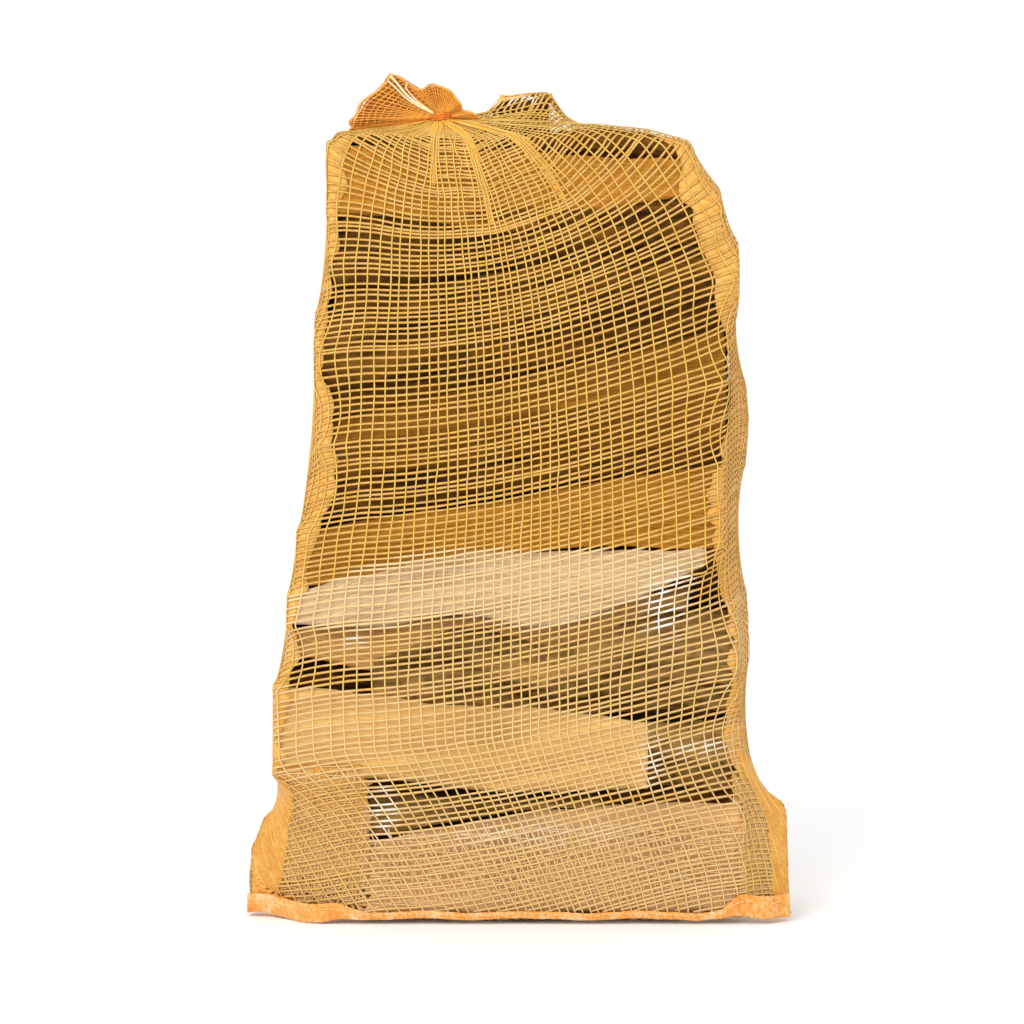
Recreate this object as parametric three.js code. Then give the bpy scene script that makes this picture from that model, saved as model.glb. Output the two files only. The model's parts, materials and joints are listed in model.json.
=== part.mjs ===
// A net of firewood: split logs stacked two deep in a golden leno net, sewn shut along a hem at its
// foot and gathered in a tie at its top. Millimetres, +Z up, front facing -Y, +X to the right.
// The origin is in the middle of the footprint, on the ground.
//
// The shut net is one pillow-shaped solid. Its outline is drawn over the ends of the logs, and its
// two broad faces bulge over each course of logs. The hem, the tie and the loose mouth are pieces
// of their own.
import * as THREE from 'three';

// ---- driving dimensions ----
const NET_HALF_WIDTH = 200;      // half of the flat net, seen at the hem
const EAR_WAIST_HEIGHT = 108;    // the net is drawn in here, above its two bottom corners
const EAR_WAIST = { left: 164, right: 165 };
const EAR_FULL_HEIGHT = { left: 44, right: 84 };
const EAR_WEDGE = { left: 92, right: 50 };   // length over which each corner flattens
const SIDE_ROUNDING = 44;        // the net slants over this much from a front log's end to a back one's
const EAR_BOTTOM = 14;           // lower edge of the corners, just above the hem
const BASE_LEFT = -122;          // ends of the flat foot under the lowest logs
const BASE_RIGHT = 158;
const BASE_EASE = 9;             // length of the step from the foot up to a corner
const SHOULDER_HEIGHT = 575;
const TOP_EASE = 90;             // the uneven top edge is felt this far down the faces
const LID_DEPTH = 15;            // half the thickness that is left along the top edge
const CROWN = 30;                // height of the rounding under the top edge
const FOOT_TUCK = 26;            // height of the rounding above the foot
const FOOT_KEEP = 0.84;          // share of the thickness that the foot keeps
const COURSE_DIP = 5.5;          // how far the net sinks between two courses of logs
const SMALLEST_DEPTH = 2.2;      // half thickness of the net at its outline

// Courses of logs from the ground up: height of the middle, rise per millimetre to the right, how
// far the net reaches to each side, and how far it bulges to the front and to the back.
const COURSES = [
  { height: 52, rise: 0.05, left: 199, right: 200, front: 57, back: 52 },
  { height: 130, rise: -0.06, left: 176, right: 167, front: 60, back: 53 },
  { height: 186, rise: -0.1, left: 173, right: 174, front: 53, back: 56 },
  { height: 240, rise: 0.04, left: 167, right: 164, front: 60, back: 52 },
  { height: 298, rise: 0.1, left: 162, right: 162, front: 55, back: 54 },
  { height: 362, rise: 0.14, left: 153, right: 173, front: 53, back: 56 },
  { height: 428, rise: 0.15, left: 148, right: 158, front: 51, back: 51 },
  { height: 488, rise: 0.1, left: 146, right: 162, front: 47, back: 52 },
  { height: 540, rise: -0.04, left: 138, right: 138, front: 44, back: 47 },
];
const TOP_REACH = { left: 131, right: 129 };

// The gathered top: neck, tie and mouth.
const NECK = { x: -56, y: -16, height: 587 };
const NECK_RADIUS = 5.6;
const NECK_LAND = 12;            // half length of the flat that the neck stands on
const NECK_SLOPE = { left: 76, right: 180 };   // the top edge falls away from the neck over this much
const TIE = { radius: 8.3, thickness: 2.1, height: 589.8 };
const MOUTH = { base: 594, lowest: 184, highest: 88, thickness: 9, pleats: 7, pleatDepth: 0.3 };
const MOUTH_RIM = [              // direction from the neck in degrees, and length of the loose net
  { angle: 88, length: 20 },
  { angle: 112, length: 22 },
  { angle: 128, length: 28 },
  { angle: 142, length: 43 },
  { angle: 158, length: 50 },
  { angle: 172, length: 60 },
  { angle: 184, length: 64 },
];
const FLAP = { x: 5, halfWidth: 35, rise: 25, shape: 4 };       // fold of net standing up beside the neck
const KNUCKLE = { x: 74, halfWidth: 17, rise: 5, shape: 2 };    // corner of a log under the top edge

// The hem: a folded and sewn strip, deeper in the two loose corners.
const HEM = { thickness: 2.6, middle: 5.4, leftEnd: 12.6, rightEnd: 10.2, lift: 4, waves: 5, standoff: 1.3, swing: 52 };
const HEM_CORNER = { left: 96, right: 56 };  // length of the deep stretch at each end

const GAP = 0.35;                // room between touching pieces

const COLUMNS = 40;
const ROWS = 52;
const HEM_STEPS = 96;

// ---- small helpers ----
const mix = (a, b, t) => a + (b - a) * t;
const clamp = (v, low, high) => Math.min(high, Math.max(low, v));
const smooth = (t) => {
  const u = clamp(t, 0, 1);
  return u * u * (3 - 2 * u);
};

// Smooth curve through stations { at, value } in rising order, held level beyond the ends.
function through(stations, at) {
  const last = stations.length - 1;
  if (at <= stations[0].at) return stations[0].value;
  if (at >= stations[last].at) return stations[last].value;
  let i = 0;
  while (at > stations[i + 1].at) i += 1;
  const slope = (k) => {
    const a = stations[Math.max(0, k - 1)];
    const b = stations[Math.min(last, k + 1)];
    return (b.value - a.value) / (b.at - a.at);
  };
  const span = stations[i + 1].at - stations[i].at;
  const t = (at - stations[i].at) / span;
  const t2 = t * t;
  const t3 = t2 * t;
  return (2 * t3 - 3 * t2 + 1) * stations[i].value + (t3 - 2 * t2 + t) * span * slope(i)
    + (3 * t2 - 2 * t3) * stations[i + 1].value + (t3 - t2) * span * slope(i + 1);
}

// One closed mesh from rings of points. A ring goes out along one face and back along the other, and
// the two ends are closed from face to face.
function loft(rings) {
  const around = rings[0].length;
  const position = [];
  const index = [];
  for (const ring of rings) {
    for (const p of ring) position.push(...p);
  }
  for (let r = 0; r < rings.length - 1; r += 1) {
    for (let k = 0; k < around; k += 1) {
      const a = r * around + k;
      const b = r * around + ((k + 1) % around);
      index.push(a, b, b + around, a, b + around, a + around);
    }
  }
  const top = (rings.length - 1) * around;
  for (let k = 0; k < around / 2 - 1; k += 1) {
    const over = around - 1 - k;
    index.push(k, over, k + 1, k + 1, over, over - 1);
    index.push(top + k, top + k + 1, top + over, top + k + 1, top + over - 1, top + over);
  }
  const geometry = new THREE.BufferGeometry();
  geometry.setAttribute('position', new THREE.Float32BufferAttribute(position, 3));
  geometry.setIndex(index);
  geometry.computeVertexNormals();
  return geometry;
}

// ---- outline of the filled net, seen from the front ----
function sideReach(side, height) {
  if (height < EAR_WAIST_HEIGHT) {
    const ear = smooth((EAR_WAIST_HEIGHT - height) / (EAR_WAIST_HEIGHT - EAR_FULL_HEIGHT[side]));
    return mix(EAR_WAIST[side], COURSES[0][side], ear);
  }
  const stations = [
    { at: EAR_WAIST_HEIGHT, value: EAR_WAIST[side] },
    ...COURSES.slice(1).map((course) => ({ at: course.height, value: course[side] })),
    { at: SHOULDER_HEIGHT, value: TOP_REACH[side] },
  ];
  return through(stations, height);
}

const swell = (x, bump) => {
  const t = clamp(Math.abs(x - bump.x) / bump.halfWidth, 0, 1);
  return bump.rise * (1 - t ** bump.shape) ** 2;
};

function topHeight(x) {
  const slope = NECK_SLOPE[x < NECK.x ? 'left' : 'right'];
  const fall = smooth((Math.abs(x - NECK.x) - NECK_LAND) / slope);
  return mix(NECK.height, SHOULDER_HEIGHT, fall) + swell(x, FLAP) + swell(x, KNUCKLE);
}

function footHeight(x) {
  const step = x < 0 ? (BASE_LEFT - x) / BASE_EASE : (x - BASE_RIGHT) / BASE_EASE;
  return EAR_BOTTOM * smooth(step);
}

// ---- depth of the two broad faces ----
function bulge(face, x, height) {
  const middles = COURSES.map((course) => course.height + course.rise * x);
  const last = COURSES.length - 1;
  if (height <= middles[0]) return COURSES[0][face];
  if (height >= middles[last]) return COURSES[last][face];
  let i = 0;
  while (height > middles[i + 1]) i += 1;
  const t = (height - middles[i]) / (middles[i + 1] - middles[i]);
  return mix(COURSES[i][face], COURSES[i + 1][face], smooth(t)) - COURSE_DIP * Math.sin(Math.PI * t) ** 2;
}

// The faces close on each other towards the outline as an ellipse does beside the logs, and more
// like a wedge in the two loose corners.
function closing(x, height) {
  const ear = 1 - smooth((height - 70) / 50);
  const side = x < 0 ? 'left' : 'right';
  const length = mix(SIDE_ROUNDING, EAR_WEDGE[side], ear);
  const power = mix(2.3, 1.15, ear);
  const inwards = clamp((sideReach(side, height) - Math.abs(x)) / length, 0, 1);
  return (1 - (1 - inwards) ** power) ** (1 / power);
}

function halfDepth(face, x, height) {
  const under = clamp((topHeight(x) - height) / CROWN, 0, 1);
  const crown = (1 - (1 - under) ** 2) ** 0.5;
  const full = bulge(face, x, Math.min(height, SHOULDER_HEIGHT)) * closing(x, Math.min(height, SHOULDER_HEIGHT));
  const foot = mix(FOOT_KEEP, 1, smooth(height / FOOT_TUCK));
  return Math.max(SMALLEST_DEPTH, mix(Math.min(LID_DEPTH, full), full, crown) * foot);
}

function filledNet() {
  const rings = [];
  for (let row = 0; row <= ROWS; row += 1) {
    // Rows stand closer together near the foot and the top.
    const t = row / ROWS;
    const rise = t - 0.1 * Math.sin(2 * Math.PI * t) / Math.PI;
    const nominal = rise * SHOULDER_HEIGHT;
    const point = (face, column) => {
      const s = column / COLUMNS;
      const across = -Math.cos(Math.PI * mix(0.12, 0.88, s)) / Math.cos(Math.PI * 0.12);
      const x = across * sideReach(across < 0 ? 'left' : 'right', Math.max(nominal, EAR_BOTTOM));
      const z = nominal + footHeight(x) * (1 - smooth(nominal / TOP_EASE))
        + (topHeight(x) - SHOULDER_HEIGHT) * smooth((nominal - SHOULDER_HEIGHT) / TOP_EASE + 1);
      const depth = halfDepth(face, x, z);
      return [x, face === 'front' ? -depth : depth, z];
    };
    const ring = [];
    for (let column = 0; column <= COLUMNS; column += 1) ring.push(point('front', column));
    for (let column = COLUMNS; column >= 0; column -= 1) ring.push(point('back', column));
    rings.push(ring);
  }
  return loft(rings);
}

// ---- hem ----
function hemGeometry() {
  const rings = [];
  for (let step = 0; step <= HEM_STEPS; step += 1) {
    const x = mix(-NET_HALF_WIDTH, NET_HALF_WIDTH, step / HEM_STEPS);
    const side = x < 0 ? 'left' : 'right';
    const fromEnd = NET_HALF_WIDTH - Math.abs(x);
    const corner = 1 - smooth((fromEnd - HEM_CORNER[side] * 0.6) / (HEM_CORNER[side] * 0.4));
    const height = mix(HEM.middle, HEM[`${side}End`], corner);
    const wave = 0.5 + 0.5 * Math.sin(HEM.waves * Math.PI * x / NET_HALF_WIDTH + 1);
    const low = HEM.lift * (1 - corner) * (0.6 + 0.4 * wave);
    // It runs in front of the foot and swings back to the middle of each corner.
    const nearest = clamp(x, BASE_LEFT - 2 * BASE_EASE, BASE_RIGHT + 2 * BASE_EASE);
    const beyond = Math.abs(x - nearest);
    const inFront = Math.max(halfDepth('front', nearest, low), halfDepth('front', nearest, low + height));
    const y = -(inFront + HEM.standoff + HEM.thickness / 2) * (1 - 0.85 * smooth(beyond / HEM.swing))
      - Math.sin(x / 9) * corner;
    const front = y - HEM.thickness / 2;
    const back = y + HEM.thickness / 2;
    rings.push([[x, front, low], [x, back, low], [x, back, low + height], [x, front, low + height]]);
  }
  return loft(rings);
}

// ---- tie: a ring of cord round the neck ----
function tieGeometry() {
  return new THREE.TorusGeometry(TIE.radius, TIE.thickness, 8, 28);
}

// ---- mouth: the loose end of the net, fanning up and to the left above the tie ----
function mouthGeometry() {
  const around = 44;
  const rings = [];
  const circle = (radius, height) => {
    const ring = [];
    for (let k = 0; k < around; k += 1) {
      const turn = 2 * Math.PI * k / around;
      ring.push([NECK.x - radius * Math.cos(turn), NECK.y - radius * Math.sin(turn), height]);
    }
    return ring;
  };
  rings.push(circle(NECK_RADIUS, NECK.height + GAP));
  rings.push(circle(NECK_RADIUS, MOUTH.base - 1.5));
  const rim = MOUTH_RIM.map((r) => ({ at: r.angle, value: r.length }));
  const levels = 7;
  for (let level = 1; level <= levels; level += 1) {
    const out = level / levels;
    const ring = [];
    for (let k = 0; k < around; k += 1) {
      const turn = 2 * Math.PI * k / around;
      const across = 0.5 - 0.5 * Math.cos(turn);
      const degrees = mix(MOUTH.lowest, MOUTH.highest, across);
      const angle = THREE.MathUtils.degToRad(mix(mix(150, 110, across), degrees, smooth(out * 1.6)));
      const reach = mix(NECK_RADIUS, through(rim, degrees), out);
      const pleat = 1 + MOUTH.pleatDepth * out * Math.sin(MOUTH.pleats * Math.PI * across * 2);
      const thick = mix(NECK_RADIUS, MOUTH.thickness, out) * Math.sin(turn);
      ring.push([
        NECK.x + reach * Math.cos(angle),
        NECK.y - thick * pleat - 2.5 * out * Math.sin(MOUTH.pleats * Math.PI * across),
        MOUTH.base + reach * Math.sin(angle),
      ]);
    }
    rings.push(ring);
  }
  return loft(rings);
}

// ---- the object ----
const group = new THREE.Group();

function add(name, geometry, colour, roughness) {
  const material = new THREE.MeshStandardMaterial({ color: colour, roughness, metalness: 0 });
  const mesh = new THREE.Mesh(geometry, material);
  mesh.name = name;
  group.add(mesh);
  return mesh;
}

add('filled_net', filledNet(), 0xc99a52, 0.6);
add('bottom_hem', hemGeometry(), 0xee9f4a, 0.45);
add('tie_ring', tieGeometry(), 0xe8923a, 0.5).position.set(NECK.x, NECK.y, TIE.height);
add('gathered_mouth', mouthGeometry(), 0xe59a42, 0.5);

// The origin goes to the middle of the footprint.
const box = new THREE.Box3().setFromObject(group);
const middle = box.getCenter(new THREE.Vector3());
group.position.set(-middle.x, -middle.y, -box.min.z);

export default group;
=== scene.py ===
"""A net of firewood: split logs stacked two deep in a golden leno net, sewn shut along a hem at the
foot and gathered in a tie at the top. Lengths are worked out in millimetres and put into the meshes
in metres, with +Z up, the front facing -Y and the origin on the ground."""
import json
import math

import bpy
import numpy as np
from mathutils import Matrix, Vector

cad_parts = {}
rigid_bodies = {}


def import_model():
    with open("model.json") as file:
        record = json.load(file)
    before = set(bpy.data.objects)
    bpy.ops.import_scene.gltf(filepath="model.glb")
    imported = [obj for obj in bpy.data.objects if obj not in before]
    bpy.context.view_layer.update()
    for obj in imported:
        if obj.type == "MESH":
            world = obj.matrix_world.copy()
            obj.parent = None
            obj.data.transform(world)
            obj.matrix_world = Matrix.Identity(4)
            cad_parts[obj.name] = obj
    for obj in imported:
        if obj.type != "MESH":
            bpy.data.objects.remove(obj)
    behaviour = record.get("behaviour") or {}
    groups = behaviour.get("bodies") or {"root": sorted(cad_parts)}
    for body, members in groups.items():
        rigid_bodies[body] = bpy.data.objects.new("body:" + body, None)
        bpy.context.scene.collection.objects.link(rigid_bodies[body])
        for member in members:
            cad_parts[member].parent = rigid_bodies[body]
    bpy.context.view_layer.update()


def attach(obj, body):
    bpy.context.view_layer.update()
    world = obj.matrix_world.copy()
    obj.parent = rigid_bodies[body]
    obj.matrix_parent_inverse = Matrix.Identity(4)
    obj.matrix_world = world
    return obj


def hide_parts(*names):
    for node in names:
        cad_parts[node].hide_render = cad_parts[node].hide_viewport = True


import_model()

# ---- the split logs --------------------------------------------------------------------------
# Beech and birch rounds split into wedges, about 300 mm long and 45 to 75 mm thick, bark still on.
# They lie level, two deep, one course on the other; nothing but the net holds them together.

MM = 0.001
BARK_SIDES = 7           # flat sides that stand for a log's round bark
ROUNDNESS = 16           # power of the gauge: how sharp a log's edges are
# Points along a log and round it.
FINENESS = {"front": (90, 72), "back": (56, 48), "kindling": (40, 32)}
END_RINGS = 7
OWN_SEEDS = 10           # random seeds kept for each log

# Each log: its left and right end (x); then its bottom, top, front and back, each by values evenly
# spaced from its left end to its right; the two directions of its faces from the pith (0 is to the
# back, 90 up, 180 to the front); and its finish. Split kindling fills the gaps between the logs.
LOGS = {
    "log_top_back": (-130, 129, (536, 508), (580, 587, 588, 581, 573), (-10, -10), (44, 42),
                     (28, 150), "dark"),
    "log_stub": (-14, 24, (556, 556), (607, 608), (-6, -4), (20, 18), (28, 170), "dark"),
    "log_top_front": (-137, 128, (512, 510, 500, 518, 528), (570, 569, 566, 562, 556), (-42, -38),
                      (-8, -12), (-97, -12), "golden"),
    "log_c": (-136, 148, (450, 470, 488), (513, 516, 523), (-44, -42), (-2, -2), (118, 236), "dark"),
    "log_d": (-146, 160, (372, 408, 444), (450, 478, 499), (-48, -46), (0, 0), (122, 238), "dark"),
    "log_e": (-144, 152, (318, 334, 341), (373, 410, 444), (-49, -50), (0, 0), (-66, 60), "brown"),
    "log_f": (-159, 150, (242, 268, 271), (289, 312, 341), (-52, -50), (-2, 0), (-2, 86), "orange"),
    "log_g": (-166, 137, (216, 214, 222, 214, 229, 262), (242, 262, 275, 274, 273, 275), (-56, -55),
              (-4, -2), (-96, -14), "white"),
    "log_h": (-105, 160, (146, 150), (212, 222, 206, 226, 232), (-50, -47), (-2, 2), (124, 232),
              "olive"),
    "log_i": (-176, 95, (106, 103, 96, 92, 98), (176, 169, 162, 157, 150), (-56, -56), (-4, -29),
              (-93, -9), "light"),
    "log_j": (10, 163, (100, 90), (148, 150), (-21, -28), (-2, -2), (140, 226), "olive"),
    "log_l": (-112, 60, (56, 71, 79, 84), (102, 97, 92.5, 93), (-46, -44), (-4, -6), (72, 192),
              "olive"),
    "log_k": (-114, 164, (3, 3), (58, 74, 83, 90, 88), (-52, -52), (-2, 0), (-98, -12), "pink"),
    "log_back_1": (-114, 150, (3, 3), (82, 69), (0, 2), (51, 50), (188, 268), "light"),
    "log_back_2": (-118, 163, (80, 65), (135, 123), (-2, 2), (51, 52), (-52, 50), "dark"),
    "log_back_3": (-168, 166, (132, 118), (187, 186), (0, 2), (53, 54), (95, 178), "brown"),
    "log_back_4": (-170, 172, (183, 181), (237, 242), (-12, 4), (55, 55), (92, 176), "light"),
    "log_back_5": (-160, 161, (233, 236), (291, 302), (0, 2), (51, 51), (-48, 56), "dark"),
    "log_back_6": (-152, 161, (287, 296), (349, 340), (-8, 4), (53, 53), (186, 262), "golden"),
    "log_back_7": (-150, 171, (344, 333), (409, 399), (2, 2), (55, 55), (-55, 52), "brown"),
    "log_back_8": (-144, 157, (404, 393), (480, 464), (2, 2), (50, 50), (94, 178), "orange"),
    "log_back_9": (-138, 154, (475, 458), (538, 503), (0, 0), (50, 51), (-50, 55), "dark"),
    "kindling_1": (-130, 147, (496, 500), (526, 532, 534, 538), (-35, -40, -43, -42, -40), (8, 8),
                   (110, 250), "dark"),
    "kindling_2": (-134, 150, (434, 478), (466, 508), (-37, -42, -43, -42, -37), (9, 9), (110, 250),
                   "dark"),
    "kindling_3": (-140, 148, (358, 426), (390, 460), (-38, -44, -45, -44, -38), (9, 9), (110, 250),
                   "brown"),
    "kindling_4": (-153, 150, (281, 324), (330, 358), (-36, -45, -47, -46, -38), (9, 9), (110, 250),
                   "brown"),
    "kindling_5": (-166, 126, (193, 180, 190, 202, 214), (216, 246), (-47, -45, -34, -30, -26),
                   (9, 9), (-4, 86), "pale_brown"),
    "kindling_6": (-169, 150, (164, 136), (194, 166), (-30, -12), (9, 9), (110, 250), "dark"),
    "kindling_7": (-112, 150, (46, 74), (76, 102), (-28, -12), (9, 9), (110, 250), "dark"),
    "kindling_8": (-130, 124, (566, 565, 562, 558, 552), (577, 578, 577, 582, 573), (-37, -35),
                   (-11, -11), (100, 250), "dark"),
}


def slice_sides(low, high):
    """A pie slice with its pith at the origin: two flat sides that pass through the pith at right
    angles to the directions low and high, and a few sides a radius away that stand for the bark.
    Scaled so that the slice fills the box from -1 to 1, each side becomes a vector m, and a point q
    is inside where m.q < 1 for all of them. Returns the vectors, which are bark, and the pith."""
    arc = np.radians(np.linspace(low, high, BARK_SIDES))
    turn = np.r_[math.radians(low) - math.pi / 2, arc, math.radians(high) + math.pi / 2]
    normal = np.stack([np.cos(turn), np.sin(turn)], 1)
    bark = np.r_[0, np.ones(BARK_SIDES), 0]
    rim = np.linspace(arc[0], arc[-1], 60)
    rim = np.stack([np.r_[0, np.cos(rim)], np.r_[0, np.sin(rim)]], 1)
    middle = (rim.max(0) + rim.min(0)) / 2
    half = (rim.max(0) - rim.min(0)) / 2
    return normal * half / (bark - normal @ middle)[:, None], bark, -middle / half


def gauge(sides, across, up):
    """The rounded slice's measure of a point: the sides' m.q raised to ROUNDNESS by four squarings,
    summed and rooted, which is 1 on the surface and rounds the edges a little."""
    reach = np.maximum(0, sides[:, 0, None] * across.ravel() + sides[:, 1, None] * up.ravel())
    power = reach * reach
    power *= power
    power *= power
    power *= power
    return (power.sum(0) ** (1 / ROUNDNESS)).reshape(across.shape)


def cubic(t):
    """The four weights of a smooth curve through even points, at t between the middle two."""
    return np.stack([-t + 2 * t ** 2 - t ** 3, 2 - 5 * t ** 2 + 3 * t ** 3,
                     t + 4 * t ** 2 - 3 * t ** 3, t ** 3 - t ** 2]) / 2


def curve(values, t):
    """A smooth curve through evenly spaced values, at the share t of its length."""
    values = np.asarray(values, float)
    padded = np.r_[2 * values[0] - values[1], values, 2 * values[-1] - values[-2]]
    place = np.clip(t, 0, 1) * (len(values) - 1)
    k = np.minimum(place.astype(int), len(values) - 2)
    return sum(weight * padded[k + i] for i, weight in enumerate(cubic(place - k)))


def log_box(log, x):
    """Middle and half size of a log's section at x. Its edges follow their curves, and split wood
    also wanders: by two slow waves of x that differ from log to log."""
    left, right = log[:2]
    t = (x - left) / (right - left)
    z0, z1, y0, y1 = (curve(values, t) for values in log[2:6])
    z0 = z0 + 1.1 * np.sin(x / 19 + left)
    z1 = z1 + 1.1 * np.sin(x / 23 + right) + 0.6 * np.sin(x / 8 + left)
    return (y0 + y1) / 2, (z0 + z1) / 2, (y1 - y0) / 2, (z1 - z0) / 2


def ease(t):
    """An S curve from 0 to 1."""
    t = np.clip(t, 0, 1)
    return t * t * (3 - 2 * t)


def relief(u, v, cells, seed):
    """Smooth random relief from 0 to 1: random numbers on a lattice of cells, blended between
    neighbours by an S curve, with v closing on itself."""
    table = np.random.default_rng(seed).random((cells[0] + 2, cells[1]))
    a, b = u * cells[0], v * cells[1]
    i, j = np.floor(a).astype(int), np.floor(b).astype(int)
    s, t = ease(a - i), ease(b - j)
    j, k = j % cells[1], (j + 1) % cells[1]
    return ((table[i, j] * (1 - t) + table[i, k] * t) * (1 - s)
            + (table[i + 1, j] * (1 - t) + table[i + 1, k] * t) * s)


def mesh_piece(name, points, faces, material, **values):
    """A smooth mesh piece from points in millimetres, its faces, and named values at its points."""
    mesh = bpy.data.meshes.new(name)
    mesh.from_pydata(np.asarray(points) * MM, [], faces)
    for key, value in values.items():
        value = np.asarray(value, np.float32)
        kind, field = ("FLOAT_VECTOR", "vector") if value.ndim == 2 else ("FLOAT", "value")
        mesh.attributes.new(key, kind, "POINT").data.foreach_set(field, value.ravel())
    mesh.polygons.foreach_set("use_smooth", np.ones(len(faces), bool))
    mesh.materials.append(material)
    piece = bpy.data.objects.new(name, mesh)
    bpy.context.scene.collection.objects.link(piece)
    return piece


def grid_quads(rows, columns):
    """The faces of a grid of rows by columns that closes round its columns."""
    r = np.arange(rows - 1)[:, None]
    c = np.arange(columns)[None, :]
    d = (c + 1) % columns
    return np.stack([r * columns + c, r * columns + d, (r + 1) * columns + d,
                     (r + 1) * columns + c], -1).reshape(-1, 4)


class Nodes:
    """Short names for putting a material's nodes together."""

    def __init__(self, name):
        self.material = bpy.data.materials.new(name)
        self.material.use_nodes = True
        self.tree = self.material.node_tree
        self.shader = self.tree.nodes["Principled BSDF"]

    def add(self, kind, settings=None, **inputs):
        node = self.tree.nodes.new(kind)
        for key, value in (settings or {}).items():
            setattr(node, key, value)
        for key, value in inputs.items():
            key = int(key[1:]) if key[0] == "_" else key.replace("_", " ")
            self.put(node.inputs[key], value)
        return node

    def put(self, socket, value):
        if isinstance(value, bpy.types.NodeSocket):
            self.tree.links.new(value, socket)
        elif isinstance(value, bpy.types.Node):
            self.tree.links.new(value.outputs[0], socket)
        else:
            socket.default_value = value

    def attribute(self, name, output="Fac"):
        return self.add("ShaderNodeAttribute", {"attribute_name": name}).outputs[output]

    def stretched(self, place, *scale):
        return self.add("ShaderNodeMapping", _0=place, Scale=scale)

    def noise(self, place, scale, detail, roughness=0.5, output="Fac"):
        node = self.add("ShaderNodeTexNoise", Vector=place, Scale=scale, Detail=detail,
                        Roughness=roughness)
        return node.outputs[output]

    def math(self, operation, a, b=0.0, c=0.0, clamp=False):
        settings = {"operation": operation, "use_clamp": clamp}
        return self.add("ShaderNodeMath", settings, _0=a, _1=b, _2=c).outputs[0]

    def vector(self, operation, *inputs, output=0, **named):
        inputs = {f"_{place}": value for place, value in enumerate(inputs)}
        node = self.add("ShaderNodeVectorMath", {"operation": operation}, **inputs, **named)
        return node.outputs[output]

    def total(self, *terms):
        """The sum of some values, each times its weight."""
        terms = [self.math("MULTIPLY", value, weight) for value, weight in terms]
        whole = terms[0]
        for term in terms[1:]:
            whole = self.math("ADD", whole, term)
        return whole

    def mix(self, factor, a, b):
        return self.add("ShaderNodeMix", {"data_type": "RGBA"}, _0=factor, _6=a, _7=b).outputs[2]

    def ramp(self, value, *stops):
        node = self.add("ShaderNodeValToRGB", _0=value)
        ramp = node.color_ramp
        for at, colour in stops[1:-1]:
            ramp.elements.new(at)
        for element, (at, colour) in zip(ramp.elements, sorted(stops)):
            element.position, element.color = at, colour
        return node.outputs[0]

    def finish(self, **inputs):
        """Gives the shader its inputs, and hands over the material."""
        for key, value in inputs.items():
            self.put(self.shader.inputs[key.replace("_", " ")], value)
        return self.material


def srgb(red, green, blue):
    """A colour given from 0 to 255 as the eye reads it, as the shader wants it."""
    c = np.array([red, green, blue]) / 255
    return (*np.where(c <= 0.04045, c / 12.92, ((c + 0.055) / 1.055) ** 2.4), 1.0)


# Finish: split wood pale and dark, and bark pale and dark.
WOODS = {
    "white": (srgb(246, 222, 180), srgb(180, 140, 88), srgb(150, 108, 50), srgb(64, 36, 4)),
    "golden": (srgb(224, 160, 62), srgb(168, 102, 16), srgb(140, 92, 28), srgb(64, 34, 0)),
    "light": (srgb(246, 208, 136), srgb(212, 158, 82), srgb(150, 100, 38), srgb(66, 36, 2)),
    "pink": (srgb(248, 206, 150), srgb(218, 166, 106), srgb(150, 104, 46), srgb(64, 36, 4)),
    "orange": (srgb(206, 146, 50), srgb(128, 74, 4), srgb(130, 84, 20), srgb(60, 32, 0)),
    "brown": (srgb(168, 114, 36), srgb(84, 48, 2), srgb(140, 92, 28), srgb(58, 32, 0)),
    "dark": (srgb(190, 136, 54), srgb(122, 76, 14), srgb(152, 102, 34), srgb(56, 30, 0)),
    "olive": (srgb(186, 146, 74), srgb(112, 76, 18), srgb(204, 160, 92), srgb(82, 54, 8)),
    "pale_brown": (srgb(224, 176, 108), srgb(160, 108, 44), srgb(214, 168, 100), srgb(120, 80, 26)),
}


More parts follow.
